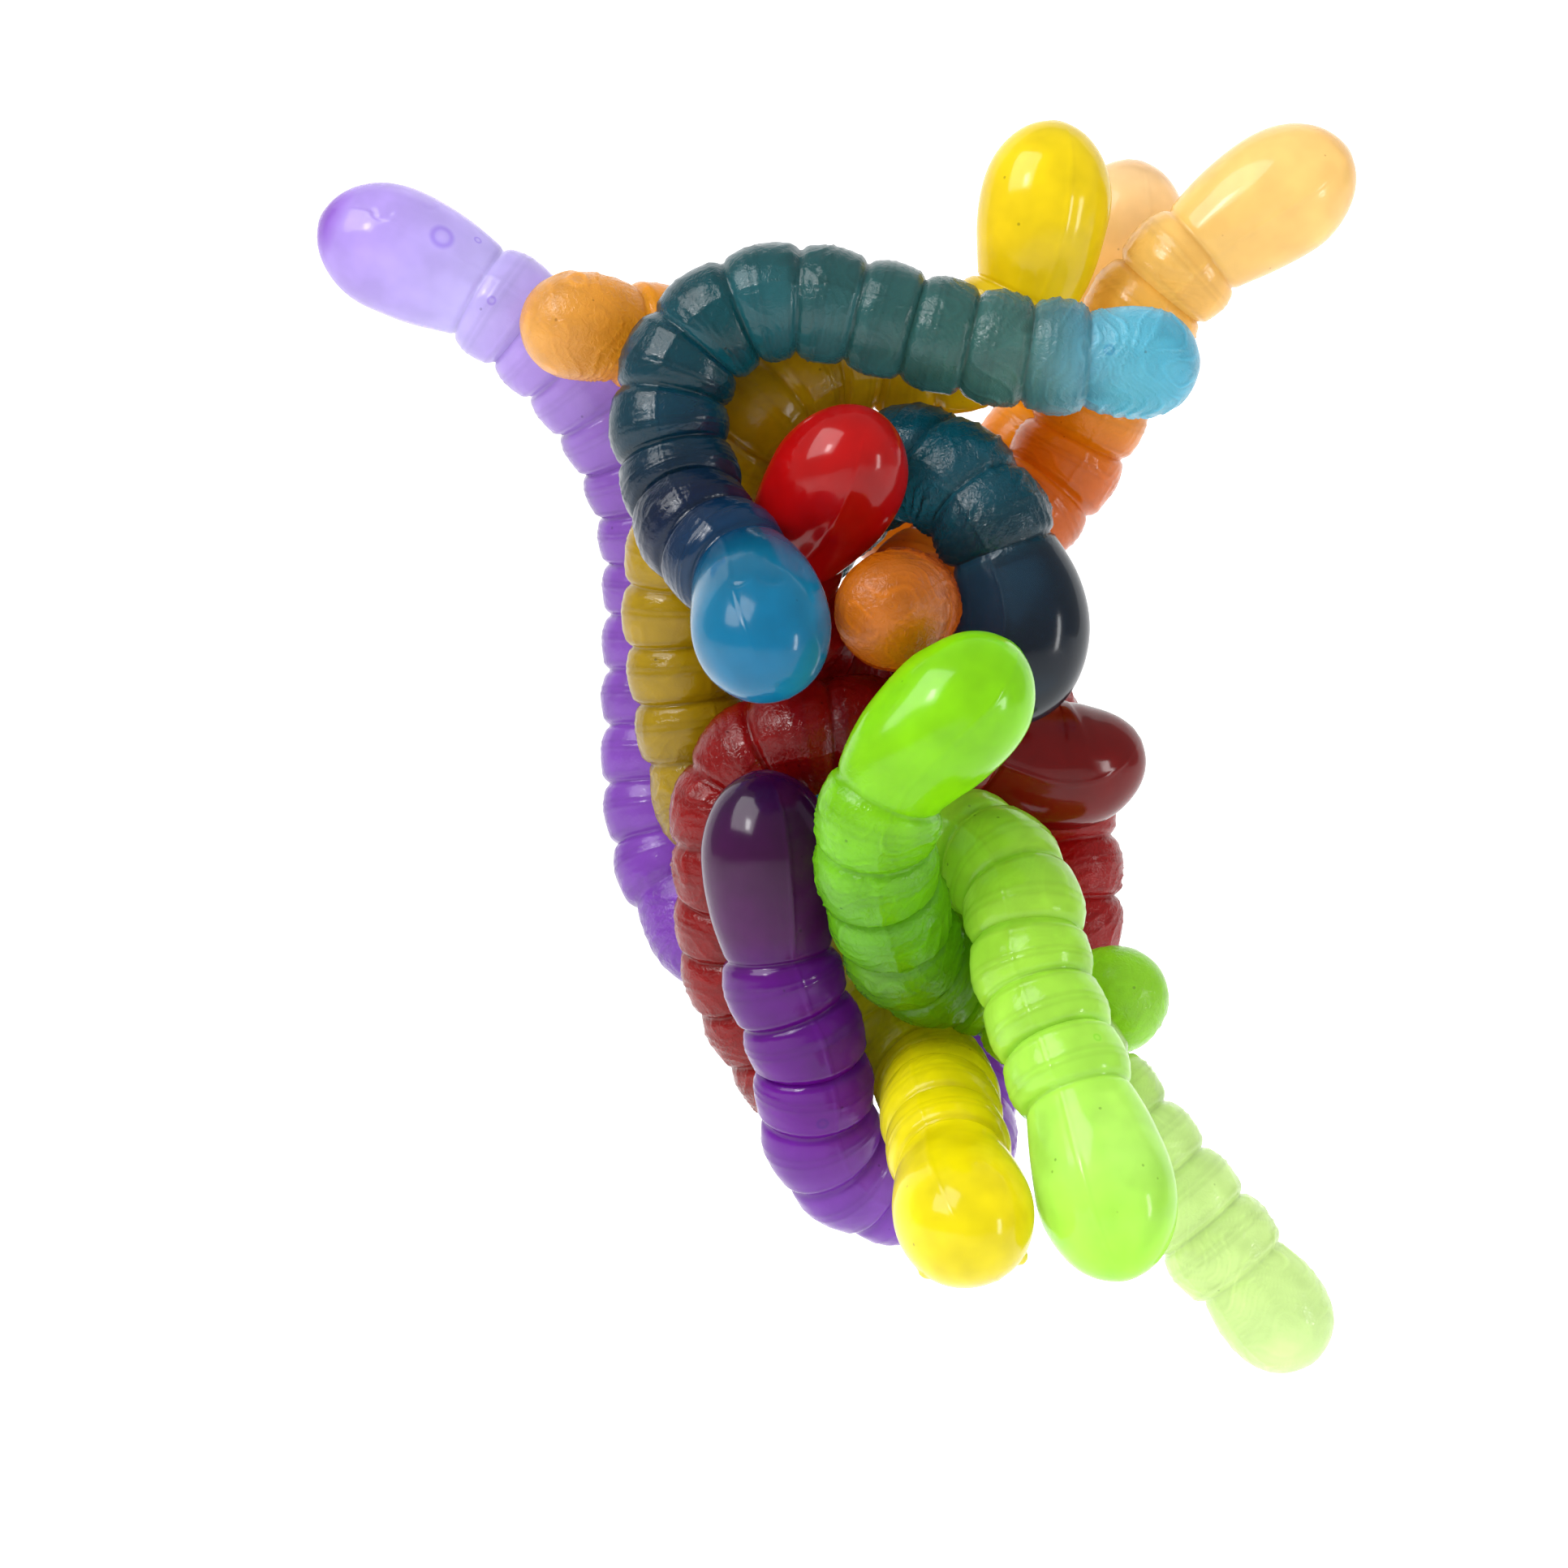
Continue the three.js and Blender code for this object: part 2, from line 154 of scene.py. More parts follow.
# The joints of each worm, as (ring from the neck, outer section).
JOINTS = {
    "purple_1": [(0, "head"), (2, "neck")],
    "orange_2": [(0, "head"), (11, "tail")],
    "yellow_1": [(0, "head"), (1, "neck")],
    "orange_1": [(0, "head"), (2, "neck"), (11, "tail")],
    "blue_1": [(0, "head"), (11, "hip"), (12, "tail")],
    "blue_2": [(0, "head")],
    "red_1": [(0, "head")],
    "red_2": [(0, "head")],
    "green_1": [(0, "head"), (7, "waist"), (9, "hip"), (12, "tail")],
    "green_2": [(0, "head"), (2, "neck"), (4, "shoulder"), (11, "tail")],
    "yellow_2": [(0, "head"), (1, "neck")],
    "purple_2": [(0, "head")],
}

# Each worm's colour with painted light at distances from its head tip, as (distance, (red, green,
# blue)), where the colour is from 0 to 255 as seen on a screen. The rubber of each worm is one colour;
# the deeper parts, most of all the gripped middles, are painted shade, and the paler free ends are
# painted glow of light shining through.
TINTS_WITH_PAINTED_LIGHT = {
    "purple_1": [(0, (98, 30, 170)), (3, (158, 126, 222)), (18, (174, 162, 232)),
                 (28, (150, 116, 210)), (45, (106, 62, 160)), (102, (96, 48, 150))],
    "orange_2": [(0, (252, 214, 152)), (16, (250, 190, 96)), (40, (222, 100, 0)),
                 (80, (234, 122, 20)), (92, (240, 152, 44)), (102, (238, 164, 72))],
    "yellow_1": [(0, (240, 212, 2)), (18, (240, 204, 0)), (34, (182, 140, 0)),
                 (102, (150, 118, 0))],
    "orange_1": [(0, (250, 200, 108)), (19, (250, 198, 100)), (30, (248, 182, 66)),
                 (45, (226, 103, 0)), (85, (190, 72, 0)), (94, (216, 100, 0)),
                 (102, (218, 108, 2))],
    "blue_1": [(0, (0, 118, 172)), (12, (4, 112, 156)), (19, (24, 56, 88)),
               (26, (28, 42, 57)), (45, (33, 60, 72)), (78, (57, 99, 96)),
               (84, (69, 114, 110)), (90, (84, 160, 190)), (94, (92, 200, 236)),
               (102, (70, 180, 222))],
    "blue_2": [(0, (28, 44, 48)), (8, (28, 42, 48)), (17, (32, 46, 56)),
               (24, (42, 76, 92)), (40, (30, 82, 104)), (102, (28, 76, 98))],
    "red_1": [(0, (186, 12, 14)), (14, (182, 20, 18)), (20, (160, 12, 4)),
              (40, (150, 8, 2)), (102, (146, 6, 2))],
    "red_2": [(0, (112, 0, 4)), (20, (124, 0, 2)), (102, (126, 2, 0))],
    "green_1": [(0, (140, 234, 30)), (17, (138, 228, 20)), (24, (116, 208, 0)),
                (32, (100, 190, 0)), (44, (88, 142, 1)), (62, (150, 210, 50)),
                (74, (202, 243, 130)), (90, (212, 246, 142)), (102, (208, 242, 148))],
    "green_2": [(0, (164, 240, 58)), (10, (180, 243, 92)), (30, (178, 244, 70)),
                (54, (182, 250, 60)), (66, (136, 232, 10)), (88, (146, 232, 30)),
                (102, (160, 238, 56))],
    "yellow_2": [(0, (232, 213, 0)), (20, (236, 216, 0)), (35, (226, 214, 0)),
                 (50, (168, 168, 0)), (64, (140, 124, 0)), (102, (128, 108, 0))],
    "purple_2": [(0, (50, 0, 56)), (8, (62, 14, 62)), (16, (72, 30, 78)),
                 (20, (84, 30, 116)), (36, (96, 40, 140)), (46, (116, 60, 176)),
                 (70, (122, 62, 184)), (102, (128, 66, 190))],
}

# How much flow wrinkling each worm has, as (distance, strength). Heads are smooth.
FLOWS = {
    "purple_1": [(17, 0.0), (24, 0.15), (88, 0.2), (92, 0.8)],
    "orange_2": [(17, 0.0), (24, 0.3), (88, 0.3), (92, 0.8)],
    "yellow_1": [(17, 0.0), (24, 0.2), (88, 0.3), (92, 0.8)],
    "orange_1": [(17, 0.0), (24, 0.35), (80, 0.35), (90, 1.0)],
    "blue_1": [(17, 0.0), (24, 0.3), (70, 0.45), (92, 1.0)],
    "blue_2": [(17, 0.0), (20, 0.9), (44, 0.9), (60, 0.3), (92, 0.8)],
    "red_1": [(17, 0.0), (24, 0.7), (60, 0.7), (92, 0.8)],
    "red_2": [(17, 0.0), (24, 0.6), (60, 0.6), (92, 0.8)],
    "green_1": [(15, 0.0), (22, 0.9), (42, 0.7), (60, 0.25), (92, 0.5)],
    "green_2": [(17, 0.0), (24, 0.1), (60, 0.25), (92, 0.6)],
    "yellow_2": [(17, 0.0), (24, 0.15), (40, 0.5), (60, 0.3), (92, 0.8)],
    "purple_2": [(17, 0.0), (24, 0.1), (70, 0.2), (88, 0.9)],
}

# The share of each worm that is milky; the rest is clear.
MILKY = {
    "purple_1": 0.55,
    "orange_2": 0.72,
    "yellow_1": 0.85,
    "orange_1": 0.66,
    "blue_1": 0.66,
    "blue_2": 0.60,
    "red_1": 0.84,
    "red_2": 0.9,
    "green_1": 0.70,
    "green_2": 0.72,
    "yellow_2": 0.88,
    "purple_2": 0.82,
}

# Small marks in the skin, as (distance, way it faces, kind, size, height) in millimetres.
# A dent is a crescent, and a nub is where the mould was filled.
MARKS = {
    "purple_1": [(6.6, (0.20, -0.91, 0.36), "dent", 0.9, 0.16),
                 (10.3, (0.39, -0.60, 0.70), "dent", 0.8, 0.14)],
    "blue_1": [(8.0, (-0.35, -0.60, 0.80), "dent", 0.8, 0.16),
               (8.0, (0.15, -0.60, 0.80), "dent", 1.1, 0.16)],
    "yellow_2": [(7.0, (0.80, 0.10, -0.60), "nub", 0.8, 0.7),
                 (5.5, (-0.60, -0.10, -0.80), "nub", 0.6, 0.3)],
}

# Air bubbles just under the skin, as (distance, way it faces, radius) in millimetres.
BUBBLES = {
    "purple_1": [(13.3, (0.22, -0.89, 0.40), 1.05), (16.3, (0.37, -0.64, 0.67), 0.36),
                 (20.6, (-0.03, -1.0, -0.05), 0.40)],
    "purple_2": [(34.5, (0.1, -1.0, 0.0), 0.5), (53.0, (0.2, -0.9, -0.2), 0.9)],
    "green_2": [(22.0, (0.5, -0.8, 0.2), 0.35)],
    "blue_1": [(92.5, (0.1, -0.98, 0.1), 0.45)],
}


# ---------- the route of each worm, read from its CAD sections ----------
def section_names(worm):
    """A worm's CAD sections from the head: outer sections, then the gripped body."""
    front = [part for ring, part in JOINTS[worm] if ring < MIDDLE_RING]
    rear = [part for ring, part in JOINTS[worm] if ring > MIDDLE_RING]
    return [f"{worm}_{part}" for part in front + ["body"] + rear]


def welded(node):
    """A CAD node's points, each once, and each point's neighbours."""
    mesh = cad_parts[node].data
    at = {}
    places = []
    which = []
    for v in mesh.vertices:
        key = tuple(round(c / WELD_GRID) for c in v.co)
        if key not in at:
            at[key] = len(places)
            places.append(np.array(v.co))
        which.append(at[key])
    near = [set() for _ in places]
    for edge in mesh.edges:
        a, b = (which[i] for i in edge.vertices)
        if a != b:
            near[a].add(b)
            near[b].add(a)
    return np.array(places), near


def row_centres(node, start_near=None, start_far=None):
    """The centres of a section's rows of points, in order from its starting pole.

    That pole is the one nearest to start_near, or the one farther from all of start_far.
    """
    places, near = welded(node)
    by_links = sorted(range(len(places)), key=lambda i: -len(near[i]))
    poles = by_links[:2]
    if start_near is not None:
        poles.sort(key=lambda i: np.linalg.norm(places[i] - start_near))
    else:
        poles.sort(key=lambda i: -np.linalg.norm(start_far - places[i], axis=1).min())
    seen = {poles[0]}
    row = [poles[0]]
    centres = []
    while row:
        centres.append(places[row].mean(axis=0))
        following = sorted({j for i in row for j in near[i]} - seen)
        seen.update(following)
        row = following
    return centres


def route_of(worm):
    """Places along a worm's middle every ROW_STEP, with the distance of each."""
    names = section_names(worm)
    centres = []
    for k, name in enumerate(names):
        if k == 0:
            beyond = np.array([v.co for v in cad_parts[names[1]].data.vertices])
            centres += row_centres(name, start_far=beyond)
        else:
            centres += row_centres(name, start_near=centres[-1])
    centres = np.array(centres) / MM
    steps = np.linalg.norm(np.diff(centres, axis=0), axis=1)
    along = np.concatenate([[0], np.cumsum(steps)])
    along *= WORM_LENGTH / along[-1]
    count = int(round(WORM_LENGTH / ROW_STEP)) + 1
    s = np.linspace(0, WORM_LENGTH, count)
    places = np.stack([np.interp(s, along, centres[:, k]) for k in range(3)], axis=1)
    return s, smoothed(places, ROUTE_BLUR / ROW_STEP)


def smoothed(values, width):
    """Values blurred along the worm by a bell of that width in rows; the ends stay put."""
    reach = int(BLUR_CUTOFF * width)
    bell = np.exp(-0.5 * (np.arange(-reach, reach + 1) / width) ** 2)
    bell /= bell.sum()
    before = 2 * values[0] - values[1 : reach + 1][::-1]
    after = 2 * values[-1] - values[-reach - 1 : -1][::-1]
    padded = np.concatenate([before, values, after])
    return np.stack([np.convolve(padded[:, k], bell, "valid") for k in range(3)], axis=1)


def carried_frames(places):
    """Tangents and two sideways directions, carried along without twisting."""
    tangents = np.gradient(places, axis=0)
    tangents /= np.linalg.norm(tangents, axis=1)[:, None]
    normal = np.array(FIRST_NORMAL)
    normals = []
    for t in tangents:
        normal = normal - normal.dot(t) * t
        normal /= np.linalg.norm(normal)
        normals.append(normal)
    normals = np.array(normals)
    return tangents, normals, np.cross(tangents, normals)


# ---------- the outline ----------
def head_radius(s):
    """The radius of the egg-shaped head, from its tip to the neck."""
    rise = HEAD_RADIUS * np.sqrt(np.clip(1 - (1 - s / HEAD_WIDEST_AT) ** 2, 0, 1))
    t = (s - HEAD_WIDEST_AT) / (HEAD_LENGTH - HEAD_WIDEST_AT)
    fall = NECK_RADIUS + (HEAD_RADIUS - NECK_RADIUS) * np.cos(np.clip(t, 0, 1) * np.pi / 2)
    return np.where(s < HEAD_WIDEST_AT, rise, fall)


def ring_radius(s):
    """The radius of the rings, which bulge between sharp grooves."""
    along = (s - HEAD_LENGTH) / RING_PITCH
    crest = RING_RADIUS_FRONT + (RING_RADIUS_REAR - RING_RADIUS_FRONT) * along / RING_COUNT
    bulge = np.sqrt(np.abs(np.sin(np.pi * along)))
    return crest - GROOVE_DEPTH * (1 - bulge)


def tail_radius(s):
    """The radius of the blunt tail, from its groove to its tip."""
    t = s - TAIL_FROM
    groove = RING_RADIUS_REAR - GROOVE_DEPTH
    rise = groove + (TAIL_RADIUS - groove) * np.sin(np.clip(t / TAIL_WIDEST_AT, 0, 1) * np.pi / 2)
    u = np.clip((t - TAIL_WIDEST_AT) / (TAIL_LENGTH - TAIL_WIDEST_AT), 0, 1)
    fall = TAIL_RADIUS * np.sqrt(1 - u**TAIL_BLUNTNESS)
    return np.where(t < TAIL_WIDEST_AT, rise, fall)


def worm_radius(s):
    """The radius of a whole worm at each distance, without any relief."""
    rings = ring_radius(np.clip(s, HEAD_LENGTH, TAIL_FROM))
    radius = np.where(s < HEAD_LENGTH, head_radius(s), rings)
    return np.where(s > TAIL_FROM, tail_radius(s), radius)


def groove_crease(s):
    """How deep in a groove's crease each distance is, from 0 to 1."""
    along = (s - HEAD_LENGTH) / RING_PITCH
    inside = (along > -CREASE_MARGIN) & (along < RING_COUNT + CREASE_MARGIN)
    away = np.abs(along - np.round(along)) * RING_PITCH
    return np.exp(-((away / CREASE_WIDTH) ** 2)) * inside


def mould_lines(s):
    """How far on a fine mould line round a ring each distance is, from 0 to 1."""
    along = (s - HEAD_LENGTH) / RING_PITCH
    inside = (along > 0) & (along < RING_COUNT)
    part = along - np.floor(along)
    lines = np.zeros_like(s)
    for centre in LINE_PLACES:
        away = (part - centre) * RING_PITCH
        lines += np.exp(-0.5 * (away / LINE_WIDTH) ** 2)
    return lines * inside


def angles_around():
    """Angles round a worm, closer together at the two mould seams."""
    even = np.linspace(0, 2 * np.pi, AROUND, endpoint=False)
    close = [seam + k * SEAM_WIDTH for seam in (0, np.pi) for k in SEAM_ROWS]
    merged = np.sort(np.mod(np.concatenate([even, close]), 2 * np.pi))
    keep = np.concatenate([[True], np.diff(merged) > CLOSEST_ANGLES])
    return merged[keep]


def seam_relief(angle):
    """The height of the two mould seams, which are at 0 and at half a turn."""
    way = np.exp(1j * angle)
    away = np.minimum(np.abs(np.angle(way)), np.abs(np.angle(-way)))
    return SEAM_HEIGHT * np.exp(-0.5 * (away / SEAM_WIDTH) ** 2)


def by_distance(stops, s):
    """Values given at a few distances, with straight lines between them, at every distance s."""
    at = [stop[0] for stop in stops]
    values = np.array([stop[1] for stop in stops], dtype=float)
    if values.ndim == 1:
        return np.interp(s, at, values)
    return np.stack([np.interp(s, at, values[:, k]) for k in range(values.shape[1])], axis=1)


# ---------- skins ----------
class Worm:
    """The worm's swept surface as a grid of points, before it is split into pieces."""

    def __init__(self, name):
        self.name = name
        self.colour = name.split("_")[0]
        self.joints = JOINTS[name]
        self.s, self.middle = route_of(name)
        self.tangents, self.normals, self.sides = carried_frames(self.middle)
        self.angles = angles_around()
        self.turn_seam_forward()
        self.seed = random.Random(name).random() * SEED_SPAN
        self.build_grid()

    def turn_seam_forward(self):
        """Turns the frames so that one mould seam runs down the front of the head."""
        k = int(np.argmin(np.abs(self.s - HEAD_WIDEST_AT)))
        front = np.array([0.0, -1.0, 0.0])
        turn = math.atan2(self.sides[k].dot(front), self.normals[k].dot(front))
        turn += SEAM_FROM_FRONT
        normals = math.cos(turn) * self.normals + math.sin(turn) * self.sides
        self.sides = math.cos(turn) * self.sides - math.sin(turn) * self.normals
        self.normals = normals

    def skin_point(self, distance, facing):
        """The point of the skin at a distance from the tip that faces that way."""
        k = int(np.argmin(np.abs(self.s - distance)))
        way = np.array(facing, dtype=float)
        way -= way.dot(self.tangents[k]) * self.tangents[k]
        way /= np.linalg.norm(way)
        return self.middle[k] + worm_radius(self.s[k]) * way

    def mark_relief(self, points):
        """The worm's dents and nubs, in millimetres outwards."""
        grow = np.zeros(points.shape[:2])
        for distance, facing, kind, size, height in MARKS.get(self.name, []):
            centre = self.skin_point(distance, facing)
            away = np.linalg.norm(points - centre, axis=2)
            if kind == "nub":
                grow += height * np.exp(-((away / size) ** NUB_POWER))
            else:
                rim = np.exp(-(((away - size) / (DENT_RIM * size)) ** 2))
                lower = np.clip(0.5 - (points - centre)[:, :, 2] / size, 0, 1)
                grow -= height * rim * lower
        return grow

    def build_grid(self):
        """Sets the skin's points, and at each the painted highlight and painted shade that lighten or
        darken the colour.
        """
        s = np.clip(self.s, TIP_INSET, WORM_LENGTH - TIP_INSET)
        radius = worm_radius(s) + LINE_HEIGHT * mould_lines(s) - CREASE_DEPTH * groove_crease(s)
        out = (
            np.cos(self.angles)[None, :, None] * self.normals[:, None, :]
            + np.sin(self.angles)[None, :, None] * self.sides[:, None, :]
        )
        plain_skin = self.middle[:, None, :] + radius[:, None, None] * out
        crests, flanks = self.wrinkles()
        grow = self.relief(radius, crests) + self.mark_relief(plain_skin)
        self.points = plain_skin + grow[:, :, None] * out
        # Painted highlight along the wrinkle crests, and painted shade on their flanks, in the ring
        # creases and along the mould lines.
        shade = 1 + PAINTED_CREST_HIGHLIGHT * crests - PAINTED_FLANK_SHADE * flanks
        painted_ring_shade = PAINTED_CREASE_SHADE * groove_crease(s) + PAINTED_MOULD_LINE_SHADE * mould_lines(s)
        self.shade = shade - painted_ring_shade[:, None]

    def wrinkles(self):
        """How far each point is on the crest, and on the flank, of a flow wrinkle."""
        wander = self.noise_grid(FLOW_SIZE, WANDER_LAYER)
        patches = self.noise_grid(PATCH_SIZE, PATCH_LAYER)
        phase = self.s[:, None] / FLOW_SPACING + FLOW_WANDER * wander
        away = np.abs(phase - np.floor(phase) - 0.5)
        strength = by_distance(FLOWS[self.name], self.s)[:, None]
        strength = strength * np.clip(PATCH_MEAN + PATCH_SPREAD * patches, PATCH_LEAST, 1)
        crests = np.exp(-((away / FLOW_WIDTH) ** 2)) * strength
        flanks = np.exp(-(((away - 2 * FLOW_WIDTH) / FLOW_WIDTH) ** 2)) * strength
        return crests, flanks

    def relief(self, radius, crests):
        """Seams, soft lumps and flow wrinkles, in millimetres outwards."""
        solid = np.clip(radius / RING_RADIUS_FRONT, 0, 1)[:, None]
        grow = seam_relief(self.angles)[None, :] * solid**2
        grow = grow + LUMP_HEIGHT * self.noise_grid(LUMP_SIZE, LUMP_LAYER) * solid
        return grow + FLOW_HEIGHT * crests * solid**2

    def noise_grid(self, size, layer):
        """Smooth noise over the skin, about size across, from -1 to 1."""
        values = np.empty((len(self.s), len(self.angles)))
        around = [(math.cos(a) / size, math.sin(a) / size) for a in self.angles]
        radius = worm_radius(self.s)
        for i, s in enumerate(self.s):
            z = s / size + self.seed + LAYER_STEP * layer
            for j, (x, y) in enumerate(around):
                values[i, j] = noise.noise((x * radius[i], y * radius[i], z))
        return values


def skin_faces(rows, around, start_closed, end_closed):
    """Faces of a grid of rows, with fans to poles that come after the grid's points."""
    k = np.arange(around)
    n = (k + 1) % around
    base = (np.arange(rows - 1) * around)[:, None]
    quads = np.stack([base + k, base + n, base + around + n, base + around + k], axis=-1)
    faces = quads.reshape(-1, 4).tolist()
    pole = rows * around
    if start_closed:
        faces += [(pole, int(b), int(a)) for a, b in zip(k, n)]
        pole += 1
    if end_closed:
        end = (rows - 1) * around
        faces += [(pole, end + int(a), end + int(b)) for a, b in zip(k, n)]
    return faces


def add_attribute(mesh, name, kind, field, values):
    """Gives every point of the mesh a value that the material reads by that name."""
    attribute = mesh.attributes.new(name, kind, "POINT")
    attribute.data.foreach_set(field, np.asarray(values, dtype=np.float32).ravel())


def skin_piece(worm, name, first, last):
    """The worm's surface between two distances, closed over at a head or tail tip."""
    rows = np.where((worm.s >= first - SAME_PLACE) & (worm.s <= last + SAME_PLACE))[0]
    around = len(worm.angles)
    points = worm.points[rows].reshape(-1, 3)
    along = np.repeat(worm.s[rows], around)
    ends = [k for k in (0, len(worm.s) - 1) if k in (rows[0], rows[-1])]
    if ends:
        points = np.concatenate([points, worm.middle[ends]])
        along = np.concatenate([along, worm.s[ends]])
    mesh = bpy.data.meshes.new(name)
    faces = skin_faces(len(rows), around, 0 in ends, len(worm.s) - 1 in ends)
    mesh.from_pydata((points * MM).tolist(), [], faces)
    mesh.polygons.foreach_set("use_smooth", [True] * len(mesh.polygons))
    # The tint holds painted light: shade in the gripped middle and glow at the free ends, then the
    # painted highlight and shade of the wrinkles, ring creases and mould lines.
    tint_with_painted_light = rubber_tint(by_distance(TINTS_WITH_PAINTED_LIGHT[worm.name], along))
    shade = np.concatenate([worm.shade[rows].ravel(), np.ones(len(ends))])
    tint_with_painted_light = np.clip(tint_with_painted_light * shade[:, None], 0, 1)
    rgba = np.concatenate([tint_with_painted_light, np.ones((len(tint_with_painted_light), 1))], axis=1)
    add_attribute(mesh, "tint_with_painted_light", "FLOAT_COLOR", "color", rgba)
    add_attribute(mesh, "rest", "FLOAT_VECTOR", "vector", points)
    add_attribute(mesh, "flow", "FLOAT", "value", by_distance(FLOWS[worm.name], along))
    obj = bpy.data.objects.new(name, mesh)
    bpy.context.scene.collection.objects.link(obj)
    return obj


def joint_distances(worm):
    """How far from the head tip each of the worm's joints is."""
    return [HEAD_LENGTH + ring * RING_PITCH for ring, _ in worm.joints]


def split_places(worm):
    """Where the skin is divided: midway between joints, and in the body past the last."""
    cuts = joint_distances(worm)
    marks = [0.0]
    for a, b in zip(cuts, cuts[1:]):
        if a < MIDDLE < b:
            marks += [a + PAST_JOINT, b - PAST_JOINT]
        else:
            marks.append((a + b) / 2)
    if cuts[-1] < MIDDLE:
        marks.append(cuts[-1] + PAST_JOINT)
    marks.append(WORM_LENGTH)
    return [round(m / ROW_STEP) * ROW_STEP for m in marks]


def dress_worm(name):
    """The worm's skin in pieces, each of which crosses one joint or none."""
    worm = Worm(name)
    material = rubber(worm)
    marks = split_places(worm)
    cuts = joint_distances(worm)
    for first, last in zip(marks, marks[1:]):
        inside = [k for k, cut in enumerate(cuts) if first < cut < last]
        label = worm.joints[inside[0]][1] if inside else "middle"
        piece = skin_piece(worm, f"{name}_{label}_skin", first, last)
        piece.data.materials.append(material)
        if inside:
            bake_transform(piece)
        else:
            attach(piece, BUNDLE)
    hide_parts(*section_names(name))


# ---------- materials ----------
def linear(colour):
    """A colour of 0 to 255 as seen on a screen, as the linear light that shaders use."""
    c = np.asarray(colour, dtype=float) / 255
    return np.where(c <= 0.04045, c / 12.92, ((c + 0.055) / 1.055) ** 2.4)


def rubber_tint(colour):
    """The shader colour that looks like that colour once light and gloss are added."""
    seen = np.clip(linear(colour) - GLOSS_LIFT, DARKEST, 1)
    return (seen / BRIGHTNESS) ** (1 / DEEPENING)


class Shader:
    """The node tree of one worm's material, with short ways to add nodes to it."""

    def __init__(self, material):
        material.use_nodes = True
        self.nodes = material.node_tree.nodes
        self.links = material.node_tree.links
        self.nodes.clear()

    def add(self, kind, **values):
        """A node with inputs set by name, in which _ stands for a space."""
        node = self.nodes.new(kind)
        for name, value in values.items():
            node.inputs[name.replace("_", " ")].default_value = value
        return node

    def attribute(self, name):
        """A node that reads one of the mesh's own attributes."""
        node = self.nodes.new("ShaderNodeAttribute")
        node.attribute_name = name
        return node

    def operation(self, kind, operation, *sources):
        """A maths node with that operation, fed by those sockets in order."""
        node = self.nodes.new(kind)
        node.operation = operation
        for k, source in enumerate(sources):
            self.links.new(source, node.inputs[k])
        return node

    def ranged(self, value, from_range, to_range):
        """A value moved from one range to another."""
        node = self.add("ShaderNodeMapRange")
        ends = ("From Min", "From Max", "To Min", "To Max")
        for name, end in zip(ends, from_range + to_range):
            node.inputs[name].default_value = end
        self.links.new(value, node.inputs["Value"])
        return node.outputs["Result"]

    def scaled(self, colour, factor):
        """A colour times a factor."""
        node = self.operation("ShaderNodeVectorMath", "SCALE", colour)
        self.links.new(factor, node.inputs["Scale"])
        return node.outputs[0]

    def mixed(self, share, first, second):
        """Two shaders mixed, with that share of the second."""
        node = self.nodes.new("ShaderNodeMixShader")
        node.inputs["Fac"].default_value = share
        self.links.new(first, node.inputs[1])
        self.links.new(second, node.inputs[2])
        return node.outputs[0]


def clouded(shader, place, colour):
    """The colour with soft clouds, a few millimetres across."""
    clouds = shader.add("ShaderNodeTexNoise", Scale=CLOUD_SCALE, Detail=CLOUD_DETAIL)
    shader.links.new(place, clouds.inputs["Vector"])
    return shader.scaled(colour, shader.ranged(clouds.outputs["Fac"], CLOUD_FROM, CLOUD_TO))


def flecked(shader, place, colour):
    """The colour with small dark flecks of dust."""
    dust = shader.add("ShaderNodeTexVoronoi", Scale=FLECK_SCALE)
    shader.links.new(place, dust.inputs["Vector"])
    return shader.scaled(colour, shader.ranged(dust.outputs["Distance"], FLECK_FROM, FLECK_TO))


def bubble_rim(shader, away, radius, deepest):
    """A ring of deeper colour at a bubble's radius, and white everywhere else."""
    on_ramp = shader.operation("ShaderNodeMath", "MULTIPLY", away)
    on_ramp.inputs[1].default_value = BUBBLE_RIM_AT / radius
    rim = shader.nodes.new("ShaderNodeValToRGB")
    ramp = rim.color_ramp
    ramp.interpolation = "B_SPLINE"
    ramp.elements[1].position = 1.0
    for element in ramp.elements:
        element.color = (1, 1, 1, 1)
    for position, depth in BUBBLE_RIM:
        shade = 1 - depth * (1 - BUBBLE_TINT * deepest)
        ramp.elements.new(position).color = (*shade, 1)
    shader.links.new(on_ramp.outputs[0], rim.inputs["Fac"])
    return rim.outputs["Color"]


def bubbled(shader, place, colour, worm):
    """The colour with a deeper rim round each of the worm's bubbles."""
    deepest = linear(TINTS_WITH_PAINTED_LIGHT[worm.name][-1][1])
    deepest = deepest / deepest.max()
    for distance, facing, radius in BUBBLES.get(worm.name, []):
        centre = worm.skin_point(distance, facing)
        away = shader.operation("ShaderNodeVectorMath", "DISTANCE", place)
        away.inputs[1].default_value = centre
        rim = bubble_rim(shader, away.outputs["Value"], radius, deepest)
        colour = shader.operation("ShaderNodeVectorMath", "MULTIPLY", colour, rim).outputs[0]
    return colour


def wrinkle_bump(shader, place):
    """Fine skin wrinkles where the rubber flowed last, as a shading normal."""
    wrinkles = shader.add("ShaderNodeTexNoise", Scale=WRINKLE_SCALE, Detail=WRINKLE_DETAIL,
                          Distortion=WRINKLE_DISTORTION)
    shader.links.new(place, wrinkles.inputs["Vector"])
    bump = shader.add("ShaderNodeBump", Distance=WRINKLE_HEIGHT)
    shader.links.new(shader.attribute("flow").outputs["Fac"], bump.inputs["Strength"])
    shader.links.new(wrinkles.outputs["Fac"], bump.inputs["Height"])
    return bump.outputs[0]


